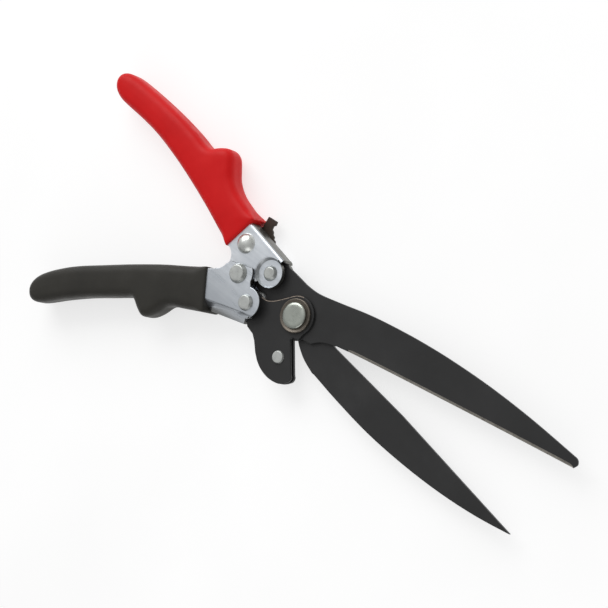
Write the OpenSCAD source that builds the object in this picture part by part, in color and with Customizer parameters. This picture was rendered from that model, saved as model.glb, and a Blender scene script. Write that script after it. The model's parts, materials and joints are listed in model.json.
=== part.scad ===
// Grass shears with compound-action handles, lying on their rear side.
// Origin: main pivot axis, on the flat end of the pivot nut. +X towards the blade tips,
// +Y towards the upper (red) handle, +Z out of the front of the tool.

/* [Pivots] */
// Distance from the main pivot to the handle pivot
handle_pivot_x = 41; // [40.5:0.5:41.5]
// Height of the blade mid-plane above the rest plane
mid_z = 10; // [9.9:0.1:10.5]

/* [Sheet metal] */
// Thickness of blades and cheeks
sheet = 1.6; // [1.4:0.1:1.6]
// Length of the upper blade from the main pivot
blade_len = 170; // [160:1:175]
// Length of the lower blade from the main pivot
lower_len = 161; // [150:1:165]

/* [Handles] */
// Outside width of each pressed channel
channel_w = 13.6; // [13.2:0.1:13.6]
// Thickness of the vinyl over the channels
grip_wall = 2; // [1.8:0.1:2]
// Radius of the rounded grip edges
grip_round = 3; // [2.4:0.2:3.2]

/* [Fasteners] */
// Radius of the handle and link rivet shanks
rivet_r = 3; // [2.8:0.1:3]
// Radius of the main pivot bolt
bolt_r = 4; // [3.5:0.5:4]
// Radius of the main pivot bolt's head
bolt_head_r = 7; // [6.4:0.1:7.6]

/* [Spring] */
// Diameter of the spring wire
wire_d = 1.4; // [1.2:0.1:1.4]

/* [Hidden] */
$fn = 72;

// Pivot centres in the plane of the tool
handle_pivot = [-handle_pivot_x, 0];
upper_link = [-26, 10];
lower_link = [-27.5, -10];
latch_pivot = [-47.7, 15.2];
lobe_hole = [4, -23.4];

// Clearances: between sliding faces, in running holes, and in the slack upper link hole
face_gap = 0.05;
run_gap = 0.05;
link_slack = 0.3;
// How far the cores inside the grips stand inside the faces of the heads
core_gap = 0.07;

// Stack heights from the blade mid-plane, and the dished eyes of the upper handle
half = sheet / 2;
plate_in = half + face_gap;
plate_out = plate_in + sheet;
tier_gap = 0.2;
outer_face = channel_w / 2 + (sheet + tier_gap) / 2;
inner_face = channel_w - outer_face;
dish_depth = sheet + tier_gap;
dish_r = 8;
dish_slope = 1.6;

// Eyes, collars and the main pivot's stack
lower_eye_r = 9.2;
upper_eye_r = 8.8;
link_eye_r = 8.5;
collar_r = 5.4;
bush_r = 6;
plate_hub_r = 10.8;
ring_h = 1.6;
ring_r = 9.2;
washer_h = 1;
nut_floor = 1.2;

steel_dark = [0.20, 0.20, 0.20];
zinc = [0.78, 0.81, 0.86];
rivet_grey = [0.66, 0.68, 0.66];
red_vinyl = [0.78, 0.11, 0.12];
black_vinyl = [0.19, 0.19, 0.18];

// ---- Curves ----
function arc(c, r, from, to, steps = 16) =
    [for (i = [0:steps]) let (a = from + (to - from) * i / steps) c + r * [cos(a), sin(a)]];

function spline_point(a, b, c, d, t) =
    (2 * b + (c - a) * t + (2 * a - 5 * b + 4 * c - d) * t * t
    + (3 * b - a - 3 * c + d) * t * t * t) / 2;

// Smooth open curve through the points
function curve(p, steps = 4) = [
    for (i = [0:len(p) - 2], k = [0:steps - 1])
        spline_point(p[max(i - 1, 0)], p[i], p[i + 1], p[min(i + 2, len(p) - 1)], k / steps),
    p[len(p) - 1]
];

function turn(p, a) = [p.x * cos(a) - p.y * sin(a), p.x * sin(a) + p.y * cos(a)];
function place(points, origin, a) = [for (p = points) origin + turn(p, a)];

// Unit normal of a closed outline at one of its points, to the left of travel
function normal_at(p, i) =
    let (n = len(p), d = p[(i + 1) % n] - p[(i + n - 1) % n]) [-d.y, d.x] / norm(d);
// The outline moved to the left of its travel
function inset(p, amount) = [for (i = [0:len(p) - 1]) p[i] + amount * normal_at(p, i)];

// ---- General shapes ----
module slab(z0, z1) {
    translate([0, 0, mid_z + z0]) linear_extrude(z1 - z0) children();
}

module disc(c, r, z0, z1) {
    translate([c.x, c.y, mid_z + z0]) cylinder(r = r, h = z1 - z0);
}

module ring(c, r, bore, z0, z1) {
    difference() {
        disc(c, r, z0, z1);
        disc(c, bore, z0 - 1, z1 + 1);
    }
}

// Shank from z0 to z1 with a stepped head at each end
module rivet(c, shank, z0, z1, base, face, height, rear_height = 1.6) {
    disc(c, shank, z0 - face_gap, z1 + face_gap);
    translate([c.x, c.y, mid_z + z1 + face_gap]) cylinder(r1 = base, r2 = face, h = height);
    translate([c.x, c.y, mid_z + z0 - face_gap - rear_height])
        cylinder(r1 = face, r2 = base, h = rear_height);
}

// ---- Blades ----
// Outline shared by the front plate and the root of the lower blade
module lobed_plate() {
    polygon(concat(
        arc(lower_link, 7.8, 250, 60, 12),
        curve([[-23, -3.2], [-20, -3], [-16.5, -1], [-13.2, 2], [-10, 5.2], [-7.8, 7.6]]),
        arc([0, 0], plate_hub_r, 134, -30, 24),
        [[8.6, -9.8]],
        arc([6, -11.6], 1.3, 60, 215, 8),
        [[15.9, -26.6]],
        arc([14.3, -29.2], 3.1, 30, -30, 6),
        curve([[15.6, -32.4], [12.4, -34.8], [7.6, -35.9], [3, -35.8], [-2, -34.5], [-6, -32.4]]),
        [[-9.5, -29.6], [-14, -24.8], [-17, -22.5], [-22.2, -21.2], [-25.2, -17.9]]
    ));
}

lower_spine = [
    [26, -19.6], [45, -22.8], [70, -25.9], [96, -26.9], [120, -26.2], [142, -23.9],
    [lower_len, -20.4]
];
lower_edge = [[lower_len, -20.2], [120, -13.8], [80, -7.4], [52, -4.1], [28, -1.4]];
upper_spine = [
    [-24, 18.1], [-18, 17.9], [-11, 17.1], [-4, 16.3], [4, 16.6], [16, 19.2], [40, 24.8],
    [72, 29.4], [105, 31.5], [136, 31.3], [blade_len - 3.4, 29.4]
];
upper_edge = [[blade_len - 1, 24.4], [130, 18], [90, 11.2], [55, 5.1], [30, 0.4]];

module lower_blade() {
    color(steel_dark) difference() {
        slab(-plate_out, -plate_in) union() {
            lobed_plate();
            polygon(concat(
                [[0, 0]], arc([0, 0], plate_hub_r, 60, 20, 4), [[18, 2]], [[28, -1.4]],
                [for (i = [len(lower_edge) - 1:-1:0]) lower_edge[i]],
                curve([for (i = [len(lower_spine) - 1:-1:0]) lower_spine[i]]),
                curve([[24.4, -19.6], [16.6, -16.8], [11, -13.6], [7.6, -11], [6.6, -9.6]])
            ));
        }
        disc([0, 0], bolt_r, -plate_out - 1, 0);
        disc(lower_link, rivet_r, -plate_out - 1, 0);
        disc(lobe_hole, rivet_r, -plate_out - 1, 0);
    }
}

module front_plate() {
    color(steel_dark) difference() {
        slab(plate_in, plate_out) lobed_plate();
        disc([0, 0], bolt_r, 0, plate_out + 1);
        disc(lower_link, rivet_r, 0, plate_out + 1);
        disc(lobe_hole, rivet_r, 0, plate_out + 1);
    }
}

module upper_blade() {
    hub_r = 13;
    heel_r = 12.2;
    relief_at = [-24.9, -0.6];
    relief_r = 0.9;
    color(steel_dark) difference() {
        slab(-half, half) difference() {
            polygon(concat(
                curve(upper_spine),
                arc([blade_len - 3, 26.4], 3, 80, 0, 6),
                upper_edge,
                [[28.4, -0.2]],
                curve([[25, -1.2], [20, -3.4], [15, -7.5]], 3),
                arc([0, 0], hub_r, -40, -140, 16),
                [[-16, -7.4], [-23.6, -1.6], [-25.6, -1.6]],
                arc(upper_link, heel_r, 268, 236, 8),
                arc(upper_link, 8.2, 215, 92, 14)
            ));
            translate(relief_at) circle(r = relief_r);
        }
        disc([0, 0], bush_r + run_gap, -2, 2);
        disc(upper_link, rivet_r + link_slack, -2, 2);
    }
}

// ---- Main pivot ----
module pivot_bolt() {
    head_h = 1.5;
    crown = 0.8;
    color(rivet_grey) {
        disc([0, 0], bolt_r, nut_floor - mid_z, plate_out + ring_h);
        disc([0, 0], bolt_head_r, plate_out + ring_h, plate_out + ring_h + head_h - crown);
        translate([0, 0, mid_z + plate_out + ring_h + head_h - crown])
            cylinder(r1 = bolt_head_r, r2 = bolt_head_r - 2, h = crown);
    }
}

module pivot_ring() {
    color([0.36, 0.33, 0.29]) ring([0, 0], ring_r, bolt_r, plate_out, plate_out + ring_h);
}

module pivot_bush() {
    color(rivet_grey) ring([0, 0], bush_r, bolt_r, -plate_in, plate_in);
}

module pivot_washer() {
    color(rivet_grey) ring([0, 0], 8, bolt_r, -plate_out - washer_h, -plate_out);
}

// Closed cap nut whose flat end the tool rests on
module pivot_nut() {
    across_flats = 13;
    cap_z = -plate_out - washer_h;
    color(rivet_grey) difference() {
        cylinder(r = across_flats / 2 / cos(30), h = mid_z + cap_z, $fn = 6);
        disc([0, 0], bolt_r, nut_floor - mid_z, cap_z + 1);
    }
}

// ---- Spacers and rivets of the blade clevis ----
module lobe_spacer() {
    color(rivet_grey) ring(lobe_hole, 5, rivet_r, -plate_in, plate_in);
}

module lobe_rivet() {
    color(rivet_grey) rivet(lobe_hole, rivet_r, -plate_out, plate_out, 3.65, 3.1, 1.1, 1);
}

module link_spacer() {
    color(rivet_grey) ring(lower_link, 7.7, rivet_r, -plate_in, plate_in);
}

module link_collar_front() {
    color(rivet_grey) ring(lower_link, collar_r, rivet_r, plate_out, outer_face - sheet - face_gap);
}

module link_collar_rear() {
    color(rivet_grey) ring(lower_link, collar_r, rivet_r, -inner_face + sheet + face_gap, -plate_out);
}

module lower_link_rivet() {
    color(rivet_grey) rivet(lower_link, rivet_r, -inner_face, outer_face, 4.5, 3.6, 1.9, 1);
}

// ---- Handle channels ----
upper_web_at = [-22.5, 20.4];
upper_web_angle = -10.8;
lower_web_angle = 15.4;
lower_web_at = [-23.4, -21];
lower_web_front = lower_web_at + 9 * [cos(lower_web_angle), sin(lower_web_angle)];
upper_bends = [6, 2, 6];
lower_bends = [6, 6, 1];
upper_grip_at = [-58.7, 17];
upper_grip_angle = 166;
lower_grip_at = [-58.5, -20];
lower_grip_angle = 214;
crotch_at = [-58, 1.3];
crotch_r = 7.2;

// Section of a channel with rounded bends, swept along a straight web line.
// The web runs back from the point at; side is +1 when the web faces +Y.
// bends holds the outside radii of the rear and the front bend, and the front one's facets.
module channel_bar(at, angle, len, depth, side, bends, z_front) {
    translate([at.x, at.y, mid_z]) rotate([0, 0, angle]) rotate([90, 0, -90])
        linear_extrude(len) difference() {
            u_outline(depth, side, bends, z_front, 0);
            u_outline(depth + 1, side, bends, z_front, sheet);
        }
}

// side +1 keeps the web at the +Y end of the section, which is at y = 0
module u_outline(depth, side, bends, z_front, wall) {
    rear_r = bends[0] - wall;
    front_r = bends[1] - wall;
    a = z_front - channel_w + wall;
    b = z_front - wall;
    points = concat(
        [[depth, a]],
        arc([wall + rear_r, a + rear_r], rear_r, 270, 180, 8),
        arc([wall + front_r, b - front_r], front_r, 180, 90, bends[2]),
        [[depth, b]]
    );
    polygon([for (p = points) [side * p.x, p.y]]);
}

// Plan of the upper handle's head, with its eye round the handle pivot
module upper_plan() {
    difference() {
        union() {
            polygon(concat(
                [[-64, 12], [-57.2, 9.2]],
                arc(crotch_at, crotch_r, 86, 10, 10),
                [[-48, -1], [-36, 2], [-30, 2.4], [-26, 10], [-21.5, 10], [-21.5, 24], [-64, 36]]
            ));
            translate(handle_pivot) circle(r = upper_eye_r);
        }
        translate(upper_link) circle(r = dish_r + 0.8);
    }
}

module lower_plan() {
    union() {
        polygon(concat(
            [[-64, -11.5], [-59.4, -8.4], [-55.5, -6]],
            arc(crotch_at, crotch_r, -68, -6, 10),
            [[-46, 3], [-33, 2], [-29.8, -2.2], [-24.2, -16.8], [-25.4, -26], [-64, -38]]
        ));
        translate(handle_pivot) circle(r = lower_eye_r);
        translate(lower_link) circle(r = link_eye_r);
    }
}

module upper_handle() {
    front = inner_face;
    rear = -outer_face;
    color(zinc) union() {
        difference() {
            intersection() {
                channel_bar(upper_web_at, upper_web_angle, 45, 34, 1, upper_bends, front);
                slab(rear, front) upper_plan();
            }
            disc(handle_pivot, rivet_r + run_gap, rear - 1, front + 1);
            disc(latch_pivot, rivet_r, rear - 1, front + 1);
            latch_slot();
        }
        difference() {
            union() {
                dish(front, 0);
                dish(rear, 1);
            }
            disc(upper_link, rivet_r, rear - 1, front + 1);
        }
        handle_core(upper_grip_at, upper_grip_angle, upper_core, front);
    }
}

// Eye set in from the cheek by dish_depth, with a sloping wall on the handle's side
module dish(face, is_rear) {
    foot = -dish_depth - sheet;
    rim = 0.1;
    translate([upper_link.x, upper_link.y, mid_z + face]) mirror([0, 0, is_rear]) intersection() {
        rotate_extrude() polygon([
            [0, foot], [dish_r, foot], [dish_r + dish_slope, rim - sheet], [dish_r + dish_slope, -rim],
            [dish_r + 0.4, -rim], [dish_r - 0.8, -dish_depth], [0, -dish_depth]
        ]);
        translate([0, 0, foot - 1]) linear_extrude(sheet + dish_depth + 2) union() {
            circle(r = dish_r);
            polygon([[0, 0], [1, 11], [-12, 12], [-12, -8], [-4, -8]]);
        }
    }
}

// Opening in the web that the latch tab swings through
module latch_slot() {
    slab(-inner_face - 0.6 * tier_gap, -inner_face + sheet + tier_gap)
        polygon([[-57, 20.6], [-36, 16.6], [-36, 34], [-57, 34]]);
}

module lower_handle() {
    front = outer_face;
    rear = -inner_face;
    color(zinc) union() {
        difference() {
            union() {
                intersection() {
                    channel_bar(lower_web_front, lower_web_angle, 51, 30, -1, lower_bends, front);
                    slab(rear, front) lower_plan();
                }
                link_rim(front - face_gap);
            }
            disc(handle_pivot, rivet_r, rear - 1, front + 1);
            disc(lower_link, rivet_r + run_gap, rear - 1, front + 1);
            slab(rear - 1, rear + sheet + 1) catch_recess();
            slab(front - sheet - 1, front + 1) catch_notch();
        }
        handle_core(lower_grip_at, lower_grip_angle, lower_core, front);
    }
}

// Raised rim that carries the link eye over the slope of the front bend
module link_rim(front) {
    slab(front - 3.2, front) intersection() {
        difference() {
            translate(lower_link) circle(r = link_eye_r - 0.1);
            translate(lower_link) circle(r = collar_r + 0.4);
        }
        translate([lower_link.x - 7, lower_link.y - 9]) square([13, 6]);
    }
}

// Direction of the catch tooth from the handle pivot, and the bottom of the recess round it
catch_angle = 119;
catch_r = 7.4;

// Cut round the rear eye that the latch nose runs in, either side of the catch tooth
module catch_recess() {
    from = 14;
    to = 172;
    difference() {
        polygon(concat(
            arc(handle_pivot, lower_eye_r + 3, from, to),
            arc(handle_pivot, catch_r, to, from)
        ));
        translate(handle_pivot) rotate(catch_angle)
            polygon([[0, -0.9], [lower_eye_r + 4, -0.5], [lower_eye_r + 4, 0.9], [0, 1.4]]);
    }
}

// Nick in the front eye behind the tooth
module catch_notch() {
    translate(handle_pivot) rotate(catch_angle + 14) translate([lower_eye_r + 0.6, 0])
        circle(r = 1.9);
}

// Channel inside a grip, tapering in two lengths that follow the grip's bend.
// Each station is [distance, web offset, open-edge offset] in the grip's own frame.
upper_core = [[-2, -9.7, 5.6], [50, -12.2, 0], [112, -5.4, 0.2]];
lower_core = [[-2, 10.4, -8.4], [48, 0.6, -11.2], [106, 0.8, -8.6]];

function web_side(core) = [for (s = core) [s[0], s[1]]];
function open_side(core) = [for (i = [2:-1:0]) [core[i][0], core[i][2]]];
function core_outline(core) = concat(web_side(core), open_side(core));

// The same area without the web and the tip wall
function hollow_outline(core) =
    let (side = sign(core[0][1]))
    concat(
        [for (s = core) [s[0] - (s == core[2] ? sheet : 0), s[1] - side * sheet]],
        [for (i = [2:-1:0]) [core[i][0] - (i == 2 ? sheet : 0), core[i][2] - side]]
    );

// The core's cheeks stand core_gap inside the head's, so the two blend without a shared face
module handle_core(at, angle, core, z_front) {
    top = z_front - core_gap;
    low = z_front - channel_w + core_gap;
    difference() {
        slab(low, top) polygon(place(core_outline(core), at, angle));
        slab(low + sheet, top - sheet) polygon(place(hollow_outline(core), at, angle));
    }
}

// ---- Grips ----
// Outlines in the grip's own frame: distance from the grip's end, offset across it
upper_outline = curve([
    [-3.4, 8.9], [9.7, 7.3], [25, 5.3], [45, 3.5], [62, 2.7], [80, 2.9], [95, 4.6], [108, 6.8],
    [115.6, 7.6], [121.5, 6.4], [125, 3.5], [126.2, 0], [125, -3.6], [120.6, -6.6], [112, -9],
    [95, -12.1], [78, -14.5], [62, -15.9], [52, -16.1], [47.2, -17.4], [43.2, -21.7], [38.6, -25.2],
    [33.6, -24.9], [28.8, -21.4], [22.9, -16.8], [15, -14], [6, -13.3], [-4.8, -13]
], 3);
lower_outline = curve([
    [-5.8, -11.1], [10, -12.3], [25, -13.6], [45, -14.4], [65, -14.6], [85, -14.6], [99, -13.3],
    [109.6, -11.1], [115.6, -8.2], [118.8, -4.4], [119.4, -0.8], [118.6, 2.6], [115.8, 5], [110, 5.8],
    [95, 4.4], [78, 3.6], [62, 3.8], [50, 4], [44.4, 4.7], [41.2, 10.4], [38, 14.8], [33.4, 15.5],
    [27.6, 13.6], [21.9, 10.4], [18, 9.9], [12, 11], [5, 12.2], [-4.6, 13.9]
], 3);

// Vinyl sleeve over a channel core, with its front and rear edges rounded in steps
module sleeve(outline, core, at, angle, front, inward) {
    low = front - channel_w - grip_wall;
    high = front + grip_wall;
    lip = 0.6;
    slab(front - channel_w, front) difference() {
        polygon(place(outline, at, angle));
        polygon(place(core_outline(core), at, angle));
    }
    slab(front, front + lip) polygon(place(inset(outline, inward * step_in(grip_wall - lip)), at, angle));
    slab(front + lip, high) polygon(place(inset(outline, inward * step_in(lip)), at, angle));
    slab(front - channel_w - lip, front - channel_w)
        polygon(place(inset(outline, inward * step_in(grip_wall - lip)), at, angle));
    slab(low, front - channel_w - lip) polygon(place(inset(outline, inward * step_in(lip)), at, angle));
}

// Inset of a round of grip_round, at a depth below the flat face
function step_in(depth) = grip_round - sqrt(pow(grip_round, 2) - pow(grip_round - depth, 2));

module upper_grip() {
    color(red_vinyl)
        sleeve(upper_outline, upper_core, upper_grip_at, upper_grip_angle, inner_face, -1);
}

module lower_grip() {
    color(black_vinyl)
        sleeve(lower_outline, lower_core, lower_grip_at, lower_grip_angle, outer_face, 1);
}

// ---- Handle fasteners ----
module handle_pivot_rivet() {
    color(rivet_grey) rivet(handle_pivot, rivet_r, -outer_face, outer_face, 5.5, 4.25, 2.2);
}

module pivot_sleeve() {
    reach = inner_face - sheet - face_gap;
    color(rivet_grey) ring(handle_pivot, rivet_r + 0.8, rivet_r, -reach, reach);
}

module upper_link_rivet() {
    face = inner_face - dish_depth;
    back = -outer_face + dish_depth;
    color(rivet_grey) rivet(upper_link, rivet_r, back, face, 4.2, 3.1, 1.7, 1.4);
}

module tang_washer_front() {
    color(rivet_grey) ring(upper_link, 5.5, rivet_r, plate_in, inner_face - dish_depth - sheet);
}

module tang_washer_rear() {
    color(rivet_grey)
        ring(upper_link, 5.5, rivet_r, -outer_face + dish_depth + sheet, -plate_in);
}

// ---- Latch ----
module latch_rivet() {
    dome_h = 3.5;
    dome_r = 5.6;
    sphere_r = (dome_r * dome_r + dome_h * dome_h) / (2 * dome_h);
    color(rivet_grey) {
        disc(latch_pivot, rivet_r, -outer_face, inner_face);
        translate([latch_pivot.x, latch_pivot.y, mid_z + inner_face]) intersection() {
            cylinder(r = dome_r, h = dome_h);
            translate([0, 0, dome_h - sphere_r]) sphere(r = sphere_r);
        }
        disc(latch_pivot, 4.6, -outer_face - 1.2, -outer_face);
    }
}

module latch_sleeve() {
    color(rivet_grey) ring(latch_pivot, 4.6, rivet_r, -inner_face + sheet + face_gap, inner_face - sheet);
}

module latch_shim() {
    color(rivet_grey) ring(latch_pivot, 3.9, rivet_r, -outer_face + sheet, -inner_face - face_gap);
}

module latch() {
    hub_r = 5.2;
    nose = [[3.4, -4.6], [8.6, -4.4], [10.6, -3.2], [10.6, -1.4], [8.8, -0.2], [4.6, 2.6]];
    tab = [[5, 6.4], [9.2, 7], [8.4, 8.4], [6.9, 8.8], [6.5, 10], [5, 10.6], [4.4, 11.8], [2.8, 12.8],
        [2.6, 14.6], [3.6, 15.4], [3.2, 17.7], [-2.9, 17.3], [-2.9, 11], [-4.4, 8.4], [-5.1, 0]];
    color([0.2, 0.17, 0.15]) difference() {
        slab(-inner_face, -inner_face + sheet) translate(latch_pivot) union() {
            circle(r = hub_r);
            polygon(concat(nose, tab));
        }
        disc(latch_pivot, rivet_r + run_gap, -inner_face - 1, -inner_face + sheet + 1);
    }
}

// ---- Return spring ----
coil_in = rivet_r + 1.1;

module return_spring() {
    turns = 5;
    low = -turns * wire_d / 2;
    color([0.55, 0.55, 0.55]) {
        ring(handle_pivot, coil_in + wire_d, coil_in, low, -low);
        spring_leg(137, -low - wire_d / 2, 9.8);
        spring_leg(223, low + wire_d / 2, 19);
    }
}

module spring_leg(angle, z, reach) {
    coil_r = coil_in + wire_d / 2;
    translate([handle_pivot.x, handle_pivot.y, mid_z + z]) rotate([0, 0, angle])
        translate([0, angle > 180 ? coil_r : -coil_r, 0]) rotate([0, 90, 0])
            cylinder(r = wire_d / 2, h = reach);
}

lower_blade();
front_plate();
upper_blade();
pivot_bolt();
pivot_ring();
pivot_bush();
pivot_washer();
pivot_nut();
lobe_spacer();
lobe_rivet();
link_spacer();
link_collar_front();
link_collar_rear();
lower_link_rivet();
upper_handle();
lower_handle();
upper_grip();
lower_grip();
handle_pivot_rivet();
pivot_sleeve();
upper_link_rivet();
tang_washer_front();
tang_washer_rear();
latch();
latch_rivet();
latch_sleeve();
latch_shim();
return_spring();
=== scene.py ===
"""Grass shears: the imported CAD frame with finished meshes, materials, light and camera."""
import json
import math

import bmesh
import bpy
import numpy as np
from mathutils import Matrix, Vector


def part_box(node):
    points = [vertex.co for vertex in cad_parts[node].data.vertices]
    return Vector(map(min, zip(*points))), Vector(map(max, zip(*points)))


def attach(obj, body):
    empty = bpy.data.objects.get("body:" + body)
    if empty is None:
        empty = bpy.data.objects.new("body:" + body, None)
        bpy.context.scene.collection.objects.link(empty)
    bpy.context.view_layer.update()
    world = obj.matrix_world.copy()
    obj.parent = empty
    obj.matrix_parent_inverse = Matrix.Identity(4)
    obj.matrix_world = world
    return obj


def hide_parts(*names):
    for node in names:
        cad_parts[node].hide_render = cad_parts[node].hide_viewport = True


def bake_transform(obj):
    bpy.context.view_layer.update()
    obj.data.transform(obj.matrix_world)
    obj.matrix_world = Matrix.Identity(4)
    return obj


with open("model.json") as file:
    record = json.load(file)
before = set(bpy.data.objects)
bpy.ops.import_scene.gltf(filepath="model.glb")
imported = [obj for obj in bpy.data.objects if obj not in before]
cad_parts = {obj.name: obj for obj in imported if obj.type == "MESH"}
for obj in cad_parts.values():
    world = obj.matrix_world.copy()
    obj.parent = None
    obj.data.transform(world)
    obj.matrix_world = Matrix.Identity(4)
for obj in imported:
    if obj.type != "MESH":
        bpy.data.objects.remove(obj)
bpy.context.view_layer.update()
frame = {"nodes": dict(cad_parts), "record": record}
NODES = frame["nodes"]
MM = 0.001

RECORD = frame["record"]
BODY_OF = {n: b for b, ns in RECORD["behaviour"]["bodies"].items() for n in ns}


def centre_of(node):
    low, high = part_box(node)
    return (low + high) / 2


MID_Z = centre_of("upper_blade").z
FRONT_PLATE_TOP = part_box("front_plate")[1].z
CHANNEL_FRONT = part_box("lower_handle")[1].z
HANDLE_PIVOT = centre_of("pivot_sleeve")


# ---------------------------------------------------------------- camera and light
VIEW_SIDE = math.radians(30)
VIEW_BELOW = math.radians(8)
VIEW_ROLL = math.radians(-36.9)
VIEW_DISTANCE = 0.8
VIEW_AIM = Vector((-0.00105, 0.00717, MID_Z))
LENS_MM = 90


def add_camera():
    """A long lens above the tool, swung towards its tips and a little below it."""
    spin = Matrix.Rotation(-VIEW_ROLL, 3, "Z")
    right = Vector((math.cos(VIEW_SIDE), 0, -math.sin(VIEW_SIDE)))
    back = Vector((
        math.sin(VIEW_SIDE) * math.cos(VIEW_BELOW),
        -math.sin(VIEW_BELOW),
        math.cos(VIEW_SIDE) * math.cos(VIEW_BELOW),
    ))
    up = back.cross(right)
    axes = [spin @ v for v in (right, up, back)]
    turn = Matrix(axes).transposed()
    data = bpy.data.cameras.new("camera")
    data.lens = LENS_MM
    data.sensor_width = 36
    data.clip_start = 0.01
    data.clip_end = 20
    cam = bpy.data.objects.new("camera", data)
    cam.matrix_world = Matrix.Translation(VIEW_AIM + axes[2] * VIEW_DISTANCE) @ turn.to_4x4()
    bpy.context.scene.collection.objects.link(cam)
    bpy.context.scene.camera = cam
    return axes


def add_area(name, location, target, size, power, colour=(1, 1, 1)):
    data = bpy.data.lights.new(name, "AREA")
    data.shape = "RECTANGLE"
    data.size, data.size_y = size
    data.energy = power
    data.color = colour
    lamp = bpy.data.objects.new(name, data)
    lamp.location = location
    lamp.rotation_euler = (Vector(target) - Vector(location)).to_track_quat("-Z", "Y").to_euler()
    bpy.context.scene.collection.objects.link(lamp)


def add_light(axes):
    """Even studio: a big soft key from the picture's upper left, a weak fill, white surroundings."""
    right, up, back = axes
    target = Vector((0, 0, MID_Z))
    add_area("key", target - right * 0.85 + up * 1.45 + back * 0.5, target, (1.6, 1.2), 16)
    add_area("fill", target - right * 0.2 - up * 1.5 + back * 0.9, target, (1.4, 1.2), 5)
    world = bpy.data.worlds.new("studio")
    world.use_nodes = True
    tree = world.node_tree
    shade = tree.nodes["Background"]
    shade.inputs["Strength"].default_value = 0.6
    place = tree.nodes.new("ShaderNodeTexCoord")
    height = tree.nodes.new("ShaderNodeVectorMath")
    height.operation = "DOT_PRODUCT"
    height.inputs[1].default_value = (-0.45, 0.35, 0.82)
    walls = tree.nodes.new("ShaderNodeValToRGB")
    for element, (at, tone) in zip(
        list(walls.color_ramp.elements) + [walls.color_ramp.elements.new(0.5)],
        ((0.0, 0.45), (1.0, 1.8), (0.6, 0.7)),
    ):
        element.position = at
        element.color = (tone, tone, tone, 1)
    tree.links.new(place.outputs["Generated"], height.inputs[0])
    tree.links.new(height.outputs["Value"], walls.inputs["Fac"])
    tree.links.new(walls.outputs["Color"], shade.inputs["Color"])
    bpy.context.scene.world = world
    bpy.context.scene.view_settings.view_transform = "Standard"


# ---------------------------------------------------------------- materials
class Shader:
    """Small helper that builds a node material from the top down."""

    def __init__(self, name):
        self.material = bpy.data.materials.new(name)
        self.material.use_nodes = True
        self.tree = self.material.node_tree
        self.tree.nodes.clear()
        self.out = self.add("ShaderNodeOutputMaterial")
        self.bsdf = self.add("ShaderNodeBsdfPrincipled")
        self.link(self.bsdf.outputs["BSDF"], self.out.inputs["Surface"])
        self.coords = self.add("ShaderNodeTexCoord").outputs["Object"]

    def add(self, kind, **settings):
        node = self.tree.nodes.new(kind)
        for key, value in settings.items():
            setattr(node, key, value)
        return node

    def link(self, source, target):
        self.tree.links.new(source, target)

    def set(self, **values):
        for key, value in values.items():
            self.bsdf.inputs[key.replace("_", " ")].default_value = value

    def stretched(self, scale, turn=0.0):
        node = self.add("ShaderNodeMapping")
        node.inputs["Scale"].default_value = scale
        node.inputs["Rotation"].default_value = (0, 0, turn)
        self.link(self.coords, node.inputs["Vector"])
        return node.outputs["Vector"]

    def noise(self, scale, detail=4.0, roughness=0.5, vector=None, distortion=0.0):
        node = self.add("ShaderNodeTexNoise")
        node.inputs["Scale"].default_value = scale
        node.inputs["Detail"].default_value = detail
        node.inputs["Roughness"].default_value = roughness
        node.inputs["Distortion"].default_value = distortion
        self.link(vector or self.coords, node.inputs["Vector"])
        return node.outputs["Fac"]

    def ramp(self, factor, stops):
        node = self.add("ShaderNodeValToRGB")
        ramp = node.color_ramp
        while len(ramp.elements) < len(stops):
            ramp.elements.new(0.5)
        for element, (place, colour) in zip(ramp.elements, stops):
            element.position = place
            element.color = (*colour, 1) if len(colour) == 3 else colour
        self.link(factor, node.inputs["Fac"])
        return node.outputs["Color"]

    def range(self, factor, low, high, to_low, to_high):
        node = self.add("ShaderNodeMapRange")
        ends = {"From Min": low, "From Max": high, "To Min": to_low, "To Max": to_high}
        for key, value in ends.items():
            node.inputs[key].default_value = value
        self.link(factor, node.inputs["Value"])
        return node.outputs["Result"]

    def math(self, kind, a, b=None):
        node = self.add("ShaderNodeMath", operation=kind)
        for socket, value in zip(node.inputs, (a, b)):
            if value is None:
                continue
            if isinstance(value, (int, float)):
                socket.default_value = value
            else:
                self.link(value, socket)
        return node.outputs["Value"]

    def mix(self, factor, a, b):
        node = self.add("ShaderNodeMix", data_type="RGBA")
        self.link(factor, node.inputs["Factor"])
        for socket, value in ((node.inputs["A"], a), (node.inputs["B"], b)):
            if isinstance(value, tuple):
                socket.default_value = (*value, 1)
            else:
                self.link(value, socket)
        return node.outputs["Result"]

    def bump(self, height, strength, distance, under=None):
        node = self.add("ShaderNodeBump")
        node.inputs["Strength"].default_value = strength
        node.inputs["Distance"].default_value = distance
        self.link(height, node.inputs["Height"])
        if under is not None:
            self.link(under, node.inputs["Normal"])
        self.link(node.outputs["Normal"], self.bsdf.inputs["Normal"])
        return node.outputs["Normal"]

    def side_walls(self, flat=0.92, upright=0.25):
        """1 on walls that stand along the pivots, 0 on faces square to them; the mask for painted wall
        shade.
        """
        split = self.add("ShaderNodeSeparateXYZ")
        self.link(self.add("ShaderNodeTexCoord").outputs["Normal"], split.inputs["Vector"])
        return self.range(self.math("ABSOLUTE", split.outputs["Z"]), upright, flat, 1.0, 0.0)


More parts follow.
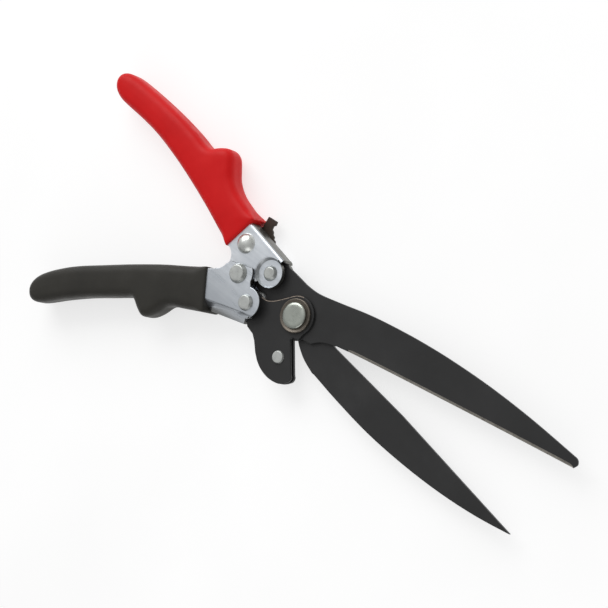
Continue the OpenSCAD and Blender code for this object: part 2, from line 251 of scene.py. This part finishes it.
def vinyl(name, base, deep, worn):
    """Satin dipped vinyl: fine orange peel, faint mottling, a few lighter flecks."""
    s = Shader(name)
    mottle = s.noise(45, 5, 0.55)
    tone = s.ramp(mottle, [(0.3, deep), (0.55, base), (0.8, worn)])
    fleck = s.noise(900, 2, 0.5)
    tone = s.mix(s.range(fleck, 0.62, 0.8, 0.0, 0.12), tone, worn)
    s.link(tone, s.bsdf.inputs["Base Color"])
    s.link(s.range(s.noise(160, 4), 0.3, 0.7, 0.36, 0.5), s.bsdf.inputs["Roughness"])
    peel = s.bump(s.noise(650, 3, 0.45), 0.12, 0.0002)
    s.bump(s.noise(70, 3, 0.5), 0.06, 0.0008, peel)
    s.set(Specular_IOR_Level=0.16)
    return s.material


def coated_steel(name, tint=(0.033, 0.033, 0.0335)):
    """Charcoal non-stick coating: fine grain, faint handling marks."""
    s = Shader(name)
    cloud = s.noise(28, 6, 0.6)
    depths = ((0.3, 0.78), (0.6, 1.0), (0.85, 1.4))
    tone = s.ramp(cloud, [(at, tuple(c * k for c in tint)) for at, k in depths])
    rub = s.noise(260, 5, 0.7, s.stretched((0.25, 1, 1), 0.2))
    tone = s.mix(s.range(rub, 0.66, 0.85, 0.0, 0.35), tone, tuple(c * 2.2 for c in tint))
    s.link(tone, s.bsdf.inputs["Base Color"])
    s.link(s.range(s.noise(120, 4), 0.3, 0.75, 0.34, 0.5), s.bsdf.inputs["Roughness"])
    grain = s.bump(s.noise(1500, 3, 0.5), 0.1, 0.00012)
    s.bump(s.noise(90, 4, 0.6), 0.05, 0.0006, grain)
    s.set(Specular_IOR_Level=0.3)
    return s.material


def plated(
    name, light, shade, roughness, streak_scale=(0.08, 1, 1), turn=0.0, walls=None, painted_shade_end=None,
):
    """Zinc plate or plain steel: brushed streaks, cloudy tone, dull spots and tiny pits.

    walls is the tone of faces along the pivots, painted darker there as shade; the end pair is (y where
    a painted shade along y is darkest, y where it has faded out).
    """
    s = Shader(name)
    streaks = s.noise(420, 5, 0.6, s.stretched(streak_scale, turn))
    cloud = s.noise(38, 5, 0.6)
    both = s.math("MULTIPLY_ADD", streaks, 0.35)
    s.link(s.math("MULTIPLY", cloud, 0.65), both.node.inputs[2])
    tone = s.ramp(both, [(0.3, shade), (0.62, light)])
    stain = s.noise(130, 6, 0.7, distortion=0.4)
    tone = s.mix(s.range(stain, 0.62, 0.8, 0.0, 0.2), tone, shade)
    # Painted shade: the tone darkens towards one end along y, standing in for darker reflections there.
    if painted_shade_end:
        split = s.add("ShaderNodeSeparateXYZ")
        s.link(s.coords, split.inputs["Vector"])
        painted_shade_share = s.math("MULTIPLY", s.range(split.outputs["Y"], *painted_shade_end, 1.0, 0.0), 0.75)
        tone = s.mix(painted_shade_share, tone, tuple(c * 0.72 for c in shade))
    # Painted shade: faces along the pivots take the darker walls tone.
    if walls:
        tone = s.mix(s.side_walls(), tone, walls)
    s.link(tone, s.bsdf.inputs["Base Color"])
    s.link(s.range(streaks, 0.3, 0.7, roughness - 0.06, roughness + 0.1), s.bsdf.inputs["Roughness"])
    fine = s.bump(streaks, 0.08, 0.0001)
    wavy = s.bump(s.noise(24, 2, 0.4), 0.35, 0.0018, fine)
    s.bump(s.noise(300, 4, 0.6), 0.05, 0.0002, wavy)
    s.set(Metallic=0.9)
    return s.material


def worn_highlight_steel(name):
    """Bare metal showing brown through a worn coating, made light as a painted highlight on edges that
    face the light.
    """
    s = Shader(name)
    rub = s.noise(500, 5, 0.7)
    tone = s.ramp(rub, [(0.3, (0.1, 0.085, 0.07)), (0.6, (0.3, 0.245, 0.2)), (0.8, (0.42, 0.36, 0.3))])
    s.link(tone, s.bsdf.inputs["Base Color"])
    s.link(s.range(rub, 0.3, 0.7, 0.5, 0.35), s.bsdf.inputs["Roughness"])
    s.bump(rub, 0.1, 0.0001)
    s.set(Metallic=0.4)
    return s.material


def make_materials():
    even = (1, 1, 1)
    # Span along y of the painted shade on the zinc: darkest at -24 mm, gone by 4 mm.
    painted_shade_end = (-24 * MM, 4 * MM)
    zinc = ((0.915, 0.955, 1.0), (0.65, 0.7, 0.76), 0.32)
    # The walls tones below are painted shade on the side faces.
    return {
        "blade": coated_steel("blade_coating"),
        "edge": plated("ground_edge", (0.5, 0.47, 0.42), (0.3, 0.28, 0.25), 0.3, (1, 0.05, 1)),
        "zinc": plated(
            "zinc_plate", *zinc, turn=0.25, walls=(0.19, 0.19, 0.175), painted_shade_end=painted_shade_end
        ),
        # Lower handle zinc: its walls painted near black as shade, a shadow line where its eye stands
        # over the upper handle.
        "zinc_deep_wall_shade": plated(
            "zinc_plate_deep_wall_shade", *zinc, turn=0.25, walls=(0.09, 0.09, 0.085), painted_shade_end=painted_shade_end
        ),
        "rivet": plated(
            "rivet_steel", (0.7, 0.72, 0.7), (0.5, 0.52, 0.5), 0.3, even, walls=(0.3, 0.31, 0.3)
        ),
        # The rivet steel made lighter for the dome: a painted highlight for the light its curve
        # catches.
        "dome": plated("dome_steel", (0.88, 0.9, 0.87), (0.66, 0.68, 0.65), 0.3, even),
        "bolt": plated(
            "bolt_steel", (0.52, 0.55, 0.5), (0.38, 0.41, 0.37), 0.28, even, walls=(0.3, 0.3, 0.27)
        ),
        # A brown worn tone, lighter than the coating, as a painted highlight with wear.
        "worn": worn_highlight_steel("worn_coating_highlight"),
        # Painted shadow: a dark tone for the gap line along the lower handle's eye.
        "gap_shadow": coated_steel("painted_gap_shadow", (0.045, 0.045, 0.043)),
        "ring": plated("browned_ring", (0.22, 0.195, 0.165), (0.12, 0.105, 0.088), 0.4, even),
        "spring": plated("spring_wire", (0.45, 0.45, 0.46), (0.28, 0.28, 0.29), 0.3, even),
        "latch": coated_steel("latch_coating", (0.05, 0.036, 0.028)),
        "red": vinyl("red_vinyl", (0.7, 0.009, 0.01), (0.63, 0.007, 0.008), (0.75, 0.015, 0.015)),
        "black": vinyl(
            "black_vinyl", (0.044, 0.042, 0.037), (0.037, 0.0355, 0.0315), (0.053, 0.05, 0.045)
        ),
    }


# ---------------------------------------------------------------- mesh tools
def new_object(name, mesh, material):
    obj = bpy.data.objects.new(name, mesh)
    bpy.context.scene.collection.objects.link(obj)
    mesh.materials.append(material)
    return obj


def smooth_by_angle(mesh, degrees=32):
    mesh.polygons.foreach_set("use_smooth", [True] * len(mesh.polygons))
    mesh.set_sharp_from_angle(angle=math.radians(degrees))


def refined(node, material, width, segments, clamp=True, sharp=28):
    """The CAD node's own shape, welded, its flats merged and its sharp edges rounded over.

    width is in millimetres; edges that turn by more than sharp degrees are rounded.
    """
    bm = bmesh.new()
    bm.from_mesh(NODES[node].data)
    bmesh.ops.remove_doubles(bm, verts=bm.verts, dist=4e-6)
    bmesh.ops.dissolve_degenerate(bm, edges=bm.edges, dist=2e-6)
    bmesh.ops.dissolve_limit(bm, angle_limit=math.radians(0.5), verts=bm.verts, edges=bm.edges)
    bm.verts.index_update()
    faces = [[v.index for v in f.verts] for f in bm.faces]
    mesh = bpy.data.meshes.new(node + "_skin")
    mesh.from_pydata([v.co[:] for v in bm.verts], [], faces)
    bm.free()
    mesh.polygons.foreach_set("use_smooth", [True] * len(mesh.polygons))
    obj = new_object(node + "_skin", mesh, material)
    bevel = obj.modifiers.new("bevel", "BEVEL")
    bevel.limit_method = "ANGLE"
    bevel.angle_limit = math.radians(sharp)
    bevel.width = width * MM
    bevel.segments = segments
    bevel.use_clamp_overlap = clamp
    normals = obj.modifiers.new("normals", "WEIGHTED_NORMAL")
    normals.mode = "FACE_AREA"
    normals.weight = 100
    return finish_skin(obj, node, angle=None)


def edge_shade_highlight_and_wear(obj, material, facing, low, high, share):
    """Gives a second material to the edge faces that face one way inside a box: here a painted shadow
    line on the lower handle, a painted highlight with wear on the front plate.
    """
    mesh = obj.data
    mesh.materials.append(material)
    facing = Vector(facing).normalized()
    low, high = Vector(low), Vector(high)
    for face in mesh.polygons:
        centre = face.center
        if all(a <= c <= b for a, c, b in zip(low, centre, high)) and face.normal.dot(facing) > share:
            face.material_index = len(mesh.materials) - 1


def finish_skin(obj, node, angle=38):
    """Applies the modifiers, shades it and lets it stand for its CAD node."""
    graph = bpy.context.evaluated_depsgraph_get()
    mesh = bpy.data.meshes.new_from_object(obj.evaluated_get(graph))
    obj.modifiers.clear()
    obj.data = mesh
    if angle is not None:
        smooth_by_angle(mesh, angle)
    return stand_for(obj, node)


def stand_for(obj, node):
    """Puts a finished piece, which stands in its node's place, on its node's body, and hides the node.
    """
    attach(obj, BODY_OF[node])
    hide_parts(node)
    return obj


def lathe(name, centre, profile, material, node, steps=72):
    """A turned part: profile is a list of (radius, height above the rest plane)."""
    bm = bmesh.new()
    rings = []
    for radius, z in profile:
        if radius < 1e-7:
            rings.append([bm.verts.new((centre.x, centre.y, z))])
        else:
            rings.append([
                bm.verts.new((centre.x + radius * math.cos(a), centre.y + radius * math.sin(a), z))
                for a in (math.tau * i / steps for i in range(steps))
            ])
    for low, high in zip(rings, rings[1:]):
        for i in range(steps):
            j = (i + 1) % steps
            corners = [low[i % len(low)], low[j % len(low)], high[j % len(high)], high[i % len(high)]]
            loop = list(dict.fromkeys(corners))
            if len(loop) > 2:
                bm.faces.new(loop)
    bmesh.ops.recalc_face_normals(bm, faces=bm.faces)
    mesh = bpy.data.meshes.new(name)
    bm.to_mesh(mesh)
    bm.free()
    smooth_by_angle(mesh, 50)
    return stand_for(new_object(name, mesh, material), node)


def rivet_skin(node, material, shank, front, rear, round_off=0.4):
    """A turned rivet: front and rear are (face share of the base radius, head height)."""
    low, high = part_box(node)
    base = (high.x - low.x) / 2
    centre = (low + high) / 2
    soft = round_off * MM
    outline = [(0, low.z)]
    outline += head_side(base, rear[0] * base, low.z, rear[1], soft)
    outline += [(shank, low.z + rear[1]), (shank, high.z - front[1])]
    outline += [(r, z) for r, z in head_side(base, front[0] * base, high.z, -front[1], soft)[::-1]]
    outline += [(front[0] * base * 0.55, high.z - 0.04 * MM), (0, high.z - 0.08 * MM)]
    return lathe(node + "_skin", centre, outline, material, node)


def head_side(base, face, tip, drop, soft, steps=4):
    """Profile of a tapered head from its face to its base, its rim rounded by soft."""
    root = np.array([base, tip + drop])
    rim = np.array([face, tip])
    slope = (root - rim) / np.linalg.norm(root - rim)
    start, end = rim - np.array([soft, 0]), rim + slope * soft
    arc = [
        tuple((1 - t) ** 2 * start + 2 * t * (1 - t) * rim + t ** 2 * end)
        for t in (i / steps for i in range(steps + 1))
    ]
    return arc + [tuple(root - slope * 0.12 * MM), tuple(root)]


def bolt_skin(material, shank, crown):
    """Main pivot bolt: a low crowned head with a broad rounded chamfer."""
    low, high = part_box("pivot_bolt")
    head = (high.x - low.x) / 2
    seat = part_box("pivot_ring")[1].z
    rim = [
        (head - 2 * MM * t ** 1.5, high.z - crown * (1 - math.sin(math.pi / 2 * t)))
        for t in (0.0, 0.12, 0.25, 0.4, 0.55, 0.7, 0.85, 1.0)
    ]
    face = [
        (head - 2.6 * MM, high.z - 0.02 * MM), (head * 0.4, high.z - 0.05 * MM),
        (0, high.z - 0.06 * MM),
    ]
    chamfer = 0.4 * MM
    outline = [
        (0, low.z), (shank - chamfer, low.z), (shank, low.z + chamfer), (shank, seat), (head, seat),
    ]
    return lathe("pivot_bolt_skin", (low + high) / 2, outline + rim + face, material, "pivot_bolt")


def ring_skin(material, bore):
    """The bolt's seat ring: a raised round rim and a slightly lower flat that the head sits on."""
    low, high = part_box("pivot_ring")
    outer = (high.x - low.x) / 2
    flat = high.z - 0.12 * MM
    outline = [
        (bore, low.z), (outer, low.z), (outer, high.z - 0.45 * MM),
        (outer - 0.12 * MM, high.z - 0.15 * MM), (outer - 0.4 * MM, high.z),
        (outer - 0.6 * MM, high.z - 0.01 * MM), (outer - 0.75 * MM, flat), (bore, flat),
        (bore, low.z),
    ]
    return lathe("pivot_ring_skin", (low + high) / 2, outline, material, "pivot_ring")


def dome_skin(node, material, shank, dome_h, flange):
    """The latch rivet: a full dome in front and a flat flange behind."""
    low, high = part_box(node)
    base = (high.x - low.x) / 2
    centre = (low + high) / 2
    sphere = (base ** 2 + dome_h ** 2) / (2 * dome_h)
    sweep = math.asin(base / sphere)
    outline = [(0, low.z), (flange[0] - 0.3 * MM, low.z), (flange[0], low.z + 0.3 * MM)]
    outline += [(flange[0], low.z + flange[1]), (shank, low.z + flange[1]), (shank, high.z - dome_h)]
    steps = 14
    for i in range(steps + 1):
        a = sweep * (1 - i / steps)
        outline.append((sphere * math.sin(a), high.z - sphere * (1 - math.cos(a))))
    return lathe(node + "_skin", centre, outline, material, node)


# ---------------------------------------------------------------- outlines taken from the CAD
def signed_area(p):
    """Positive where a closed outline runs counter-clockwise."""
    q = np.roll(p, -1, 0)
    return 0.5 * np.sum(p[:, 0] * q[:, 1] - p[:, 1] * q[:, 0])


def side_loop(node, low, high):
    """The largest outline whose side walls run straight from low to high, as 2-D points."""
    bm = bmesh.new()
    bm.from_mesh(NODES[node].data)
    bmesh.ops.remove_doubles(bm, verts=bm.verts, dist=2e-6)
    tiny = 1e-5

    def at(vert, level):
        return abs(vert.co.z - level) < tiny

    wall = [
        f for f in bm.faces
        if abs(f.normal.z) < 0.02 and all(at(v, low) or at(v, high) for v in f.verts)
    ]
    links = {}
    for face in wall:
        for e in face.edges:
            a, b = e.verts
            if at(a, low) and at(b, low):
                links.setdefault(a, set()).add(b)
                links.setdefault(b, set()).add(a)
    loops = []
    while links:
        start = next(iter(links))
        loop, here, back = [], start, None
        while here in links:
            loop.append(here)
            onward = [v for v in links.pop(here) if v is not back and v in links]
            back = here
            if not onward:
                break
            here = onward[0]
        loops.append(np.array([v.co.xy[:] for v in loop]))
    bm.free()

    best = max(loops, key=lambda p: abs(signed_area(p)))
    return best if signed_area(best) > 0 else best[::-1]


def turning(p):
    """The angle that a closed outline turns through at each point."""
    into = p - np.roll(p, 1, 0)
    out = np.roll(p, -1, 0) - p
    cross = into[:, 0] * out[:, 1] - into[:, 1] * out[:, 0]
    return np.arctan2(cross, np.sum(into * out, 1))


def resample(p, spacing, corner=38):
    """Even points on a smooth curve through the outline, and which of them are its corners."""
    sharp = np.flatnonzero(np.abs(turning(p)) > math.radians(corner))
    if len(sharp) == 0:
        sharp = np.array([0])
    p = np.roll(p, -sharp[0], 0)
    cuts = list(sharp - sharp[0]) + [len(p)]
    closed = np.vstack([p, p[:1]])
    out, is_corner = [], []
    for a, b in zip(cuts, cuts[1:]):
        stretch = closed[a:b + 1]
        padded = np.vstack([2 * stretch[0] - stretch[1], stretch, 2 * stretch[-1] - stretch[-2]])
        fine = [stretch[0]]
        for i in range(1, len(padded) - 2):
            p0, p1, p2, p3 = padded[i - 1:i + 3]
            for t in np.linspace(0, 1, 9)[1:]:
                fine.append(0.5 * (
                    2 * p1 + (p2 - p0) * t + (2 * p0 - 5 * p1 + 4 * p2 - p3) * t * t
                    + (3 * p1 - p0 - 3 * p2 + p3) * t ** 3
                ))
        fine = np.array(fine)
        along = np.concatenate([[0], np.cumsum(np.linalg.norm(np.diff(fine, axis=0), axis=1))])
        count = max(2, int(round(along[-1] / spacing)))
        want = np.linspace(0, along[-1], count + 1)[:-1]
        out.append(np.stack([np.interp(want, along, fine[:, k]) for k in (0, 1)], 1))
        is_corner += [True] + [False] * (count - 1)
    return np.vstack(out), np.array(is_corner)


def inward(p):
    """Unit normals of a counter-clockwise outline, pointing into it."""
    d = np.roll(p, -1, 0) - np.roll(p, 1, 0)
    n = np.stack([-d[:, 1], d[:, 0]], 1)
    return n / np.linalg.norm(n, axis=1)[:, None]


def slab_mesh(name, p, profiles, is_edge=None):
    """A closed slab: profiles[k] gives every outline point's (inset, height) on ring k.

    is_edge(k, i) says which faces above ring k take the second material.
    """
    n = inward(p)
    bm = bmesh.new()
    rings = []
    for inset, z in profiles:
        at = p + n * inset[:, None]
        rings.append([bm.verts.new((x, y, h)) for (x, y), h in zip(at, z)])
    count = len(p)
    for k, (low, high) in enumerate(zip(rings, rings[1:])):
        for i in range(count):
            j = (i + 1) % count
            face = bm.faces.new((low[i], low[j], high[j], high[i]))
            if is_edge is not None:
                face.material_index = int(is_edge(k, i))
    bm.faces.new(rings[0][::-1])
    bm.faces.new(rings[-1])
    mesh = bpy.data.meshes.new(name)
    bm.to_mesh(mesh)
    bm.free()
    return mesh


# ---------------------------------------------------------------- grips
FRONT_ROUND = 4.6 * MM
REAR_ROUND = 7 * MM
MOUTH_ROUND = 0.9 * MM
CROWN = 0.55 * MM
VOXEL = 0.55 * MM


def smooth_along(values, passes):
    for _ in range(passes):
        values = (np.roll(values, 1) + values * 2 + np.roll(values, -1)) / 4
    return values


def without_socket(p):
    """A sleeve's outer outline, closed straight across its mouth, where the channel goes in."""
    corners = np.flatnonzero(np.abs(turning(p)) > math.radians(38))
    reach = np.linalg.norm(p[corners] - np.array(HANDLE_PIVOT.xy), axis=1)
    mouth = corners[np.argsort(reach)[:4]]
    apart = np.linalg.norm(p[mouth][:, None] - p[mouth][None], axis=2)
    a, b = sorted(mouth[list(np.unravel_index(apart.argmax(), apart.shape))])
    return max(p[a:b + 1], np.vstack([p[b:], p[:a + 1]]), key=lambda half: abs(signed_area(half)))


def mouth_points(p, corner):
    """The straight mouth of a sleeve: the shorter stretch between its two corners."""
    a, b = np.flatnonzero(corner)
    spans = [p[a:b + 1], np.vstack([p[b:], p[:a + 1]])]
    return min(spans, key=len)


def grip_skin(node, material, core_wall):
    """Dipped vinyl sleeve: well rounded along its length, a tight round at its mouth, a soft crown."""
    low, high = (c.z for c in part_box(node))
    p, corner = resample(without_socket(side_loop(node, low + core_wall, high - core_wall)), 0.8 * MM)
    mouth = mouth_points(p, corner)
    mouth_gap = np.linalg.norm(p[:, None, :] - mouth[None], axis=2).min(1)
    blend = np.clip((mouth_gap - 1.0 * MM) / (6 * MM), 0, 1)
    blend = smooth_along(blend, 4)
    rings = []
    steps = 7
    for side, full in ((-1, REAR_ROUND), (1, FRONT_ROUND)):
        radius = MOUTH_ROUND + (full - MOUTH_ROUND) * blend
        for i in range(steps + 1):
            a = math.pi / 2 * (i if side > 0 else steps - i) / steps
            inset = radius * (1 - math.cos(a))
            lift = radius * (1 - math.sin(a))
            z = high - lift if side > 0 else low + lift
            rings.append((inset, z))
    mesh = slab_mesh(node + "_skin", p, rings)
    obj = new_object(node + "_skin", mesh, material)
    voxel = obj.modifiers.new("voxel", "REMESH")
    voxel.mode = "VOXEL"
    voxel.voxel_size = VOXEL
    soften = obj.modifiers.new("soften", "SMOOTH")
    soften.factor = 0.5
    soften.iterations = 10
    graph = bpy.context.evaluated_depsgraph_get()
    mesh = bpy.data.meshes.new_from_object(obj.evaluated_get(graph))
    obj.modifiers.clear()
    crown_faces(mesh, p, low, high)
    mesh.materials.clear()
    mesh.materials.append(material)
    obj.data = mesh
    return finish_skin(obj, node, angle=80)


def crown_faces(mesh, outline, low, high):
    """Lets both flat faces fall away towards the outline, as dipped vinyl does."""
    count = len(mesh.vertices)
    flat = np.empty(count * 3, dtype=np.float32)
    mesh.vertices.foreach_get("co", flat)
    at = flat.reshape(count, 3).astype(float)
    reach = 10 * MM
    gap = np.full(count, reach)
    for start in range(0, count, 4000):
        piece = at[start:start + 4000, None, :2] - outline[None]
        gap[start:start + 4000] = np.sqrt((piece ** 2).sum(2)).min(1)
    fall = CROWN * (1 - np.clip(gap / reach, 0, 1)) ** 1.6
    middle = (low + high) / 2
    at[:, 2] -= fall * (at[:, 2] - middle) / (high - middle)
    mesh.vertices.foreach_set("co", at.astype(np.float32).ravel())
    mesh.update()


# ---------------------------------------------------------------- blades
def blade_skin(node, material, edge_material, toward, ground=1.5 * MM):
    """A flat coated blade with softened edges and a ground bevel in front along its cutting edge."""
    low, high = (c.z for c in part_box(node))
    p, _ = resample(side_loop(node, low, high), 0.9 * MM)
    n = inward(p)
    tip = p[:, 0].max()
    cutting = (n @ np.array(toward) > 0.75) & (p[:, 0] > 0.036) & (p[:, 0] < tip - 1.5 * MM)
    weight = smooth_along(cutting.astype(float), 6)
    soft = 0.22 * MM
    zeros = np.zeros(len(p))
    rings = [
        (zeros + soft * 0.6 * (1 - weight), zeros + low),
        (zeros, zeros + low + soft * 0.6),
        (zeros + 0.08 * MM * weight, high - (soft + (high - low - 3 * soft) * weight)),
        (soft * 0.3 + (ground - 0.2 * MM) * weight, zeros + high - soft * 0.3),
        (soft + (ground - soft) * weight, zeros + high),
    ]
    mesh = slab_mesh(node + "_skin", p, rings, lambda k, i: k >= 2 and weight[i] > 0.5)
    obj = new_object(node + "_skin", mesh, material)
    mesh.materials.append(edge_material)
    return finish_skin(obj, node, angle=20)


# ---------------------------------------------------------------- spring
def spring_skin(material):
    """Torsion spring: a close-wound coil round the handle pivot with a straight leg each way."""
    low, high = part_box("return_spring")
    wire = 0.7 * MM
    mean = 4.8 * MM
    turns = 4
    rear_reach, front_reach = 19 * MM, 9.8 * MM
    z0, z1 = low.z + wire, high.z - wire
    rear_leg, front_leg = math.radians(223), math.radians(137)

    def leg(angle, side, z, reach):
        across = Vector((-math.sin(angle), math.cos(angle), 0))
        along = Vector((math.cos(angle), math.sin(angle), 0))
        root = Vector((HANDLE_PIVOT.x, HANDLE_PIVOT.y, z)) + side * mean * across
        return [root + along * reach * t for t in (1, 0.75, 0.5, 0.25, 0.08)]

    rear = leg(rear_leg, 1, z0, rear_reach)
    front = leg(front_leg, -1, z1, front_reach)
    a0 = rear_leg + math.pi / 2
    a1 = front_leg - math.pi / 2 + math.tau * turns
    steps = 36 * turns
    coil = []
    for i in range(steps + 1):
        t = i / steps
        a = a0 + (a1 - a0) * t
        coil.append(Vector((
            HANDLE_PIVOT.x + mean * math.cos(a), HANDLE_PIVOT.y + mean * math.sin(a), z0 + (z1 - z0) * t
        )))
    path = rear + coil + front[::-1]
    mesh = tube("return_spring_wire", path, wire, 12)
    obj = new_object("return_spring_wire", mesh, material)
    smooth_by_angle(mesh, 50)
    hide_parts("return_spring")
    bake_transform(obj)
    return obj


def tube(name, path, radius, sides):
    """A round wire along a path, with closed ends."""
    bm = bmesh.new()
    rings = []
    for i, here in enumerate(path):
        ahead = (path[min(i + 1, len(path) - 1)] - path[max(i - 1, 0)]).normalized()
        across = ahead.cross(Vector((0, 0, 1))).normalized()
        upward = across.cross(ahead)
        rings.append([
            bm.verts.new(here + radius * (math.cos(a) * across + math.sin(a) * upward))
            for a in (math.tau * k / sides for k in range(sides))
        ])
    for low, high in zip(rings, rings[1:]):
        for i in range(sides):
            j = (i + 1) % sides
            bm.faces.new((low[i], low[j], high[j], high[i]))
    bm.faces.new(rings[0][::-1])
    bm.faces.new(rings[-1])
    bmesh.ops.recalc_face_normals(bm, faces=bm.faces)
    mesh = bpy.data.meshes.new(name)
    bm.to_mesh(mesh)
    bm.free()
    return mesh


# ---------------------------------------------------------------- floor
def add_floor(material):
    bm = bmesh.new()
    size, count = 12.0, 8
    below = -0.2 * MM
    steps = [size * (i / count - 0.5) for i in range(count + 1)]
    verts = [[bm.verts.new((x, y, below)) for x in steps] for y in steps]
    for j in range(count):
        for i in range(count):
            bm.faces.new((verts[j][i], verts[j][i + 1], verts[j + 1][i + 1], verts[j + 1][i]))
    mesh = bpy.data.meshes.new("floor")
    bm.to_mesh(mesh)
    bm.free()
    floor = new_object("floor", mesh, material)


def floor_material():
    s = Shader("floor_white")
    tone = s.ramp(s.noise(6, 3), [(0.3, (0.4, 0.4, 0.4)), (0.7, (0.415, 0.415, 0.415))])
    s.link(tone, s.bsdf.inputs["Base Color"])
    s.link(tone, s.bsdf.inputs["Emission Color"])
    s.set(Roughness=0.9, Specular_IOR_Level=0.1, Emission_Strength=1.68)
    return s.material


# ---------------------------------------------------------------- build
axes = add_camera()
add_light(axes)
add_floor(floor_material())
M = make_materials()

refined("upper_handle", M["zinc"], 0.3, 3)
# Zinc with walls painted darker still, as shade along the eye's edge.
channel = refined("lower_handle", M["zinc_deep_wall_shade"], 0.35, 3, clamp=False, sharp=50)
# Painted shadow line on the eye's edge faces that stand over the upper handle.
edge_shade_highlight_and_wear(
    channel, M["gap_shadow"], (0.4, 0.9, 0), (-54 * MM, -1 * MM, CHANNEL_FRONT - 1.7 * MM),
    (-31 * MM, 12 * MM, CHANNEL_FRONT), 0.45,
)
grip_skin("upper_grip", M["red"], 2 * MM)
grip_skin("lower_grip", M["black"], 2 * MM)
blade_skin("upper_blade", M["blade"], M["edge"], (0.3, 0.95))
refined("lower_blade", M["blade"], 0.22, 2)
plate = refined("front_plate", M["blade"], 0.55, 3, clamp=False)
# Painted highlight with wear: the front plate's edge faces turned towards the key light take the light
# brown tone.
edge_shade_highlight_and_wear(
    plate, M["worn"], (-0.5, 0.86, 0.5), (-24.5 * MM, -4 * MM, FRONT_PLATE_TOP - 0.8 * MM),
    (-2 * MM, 11.5 * MM, FRONT_PLATE_TOP), 0.62,
)
refined("latch", M["latch"], 0.25, 2)
SHANK = 3 * MM
rivet_skin("handle_pivot_rivet", M["rivet"], SHANK, (0.773, 2.2 * MM), (0.773, 1.6 * MM))
rivet_skin("upper_link_rivet", M["rivet"], SHANK, (0.738, 1.7 * MM), (0.738, 1.4 * MM))
rivet_skin("lower_link_rivet", M["rivet"], SHANK, (0.8, 1.9 * MM), (0.8, 1.0 * MM))
rivet_skin("lobe_rivet", M["rivet"], SHANK, (0.85, 1.1 * MM), (0.85, 1.0 * MM), 0.25)
dome_skin("latch_rivet", M["dome"], SHANK, 3.5 * MM, (4.6 * MM, 1.2 * MM))
bolt_skin(M["bolt"], 4 * MM, 0.8 * MM)
ring_skin(M["ring"], 4 * MM)
for node in (
    "pivot_bush", "pivot_washer", "pivot_nut", "lobe_spacer", "link_spacer", "link_collar_front",
    "link_collar_rear", "pivot_sleeve", "tang_washer_front", "tang_washer_rear", "latch_sleeve",
):
    refined(node, M["rivet"], 0.2, 2)
refined("latch_shim", M["rivet"], 0.03, 1, clamp=False)
spring_skin(M["spring"])

bpy.context.view_layer.update()
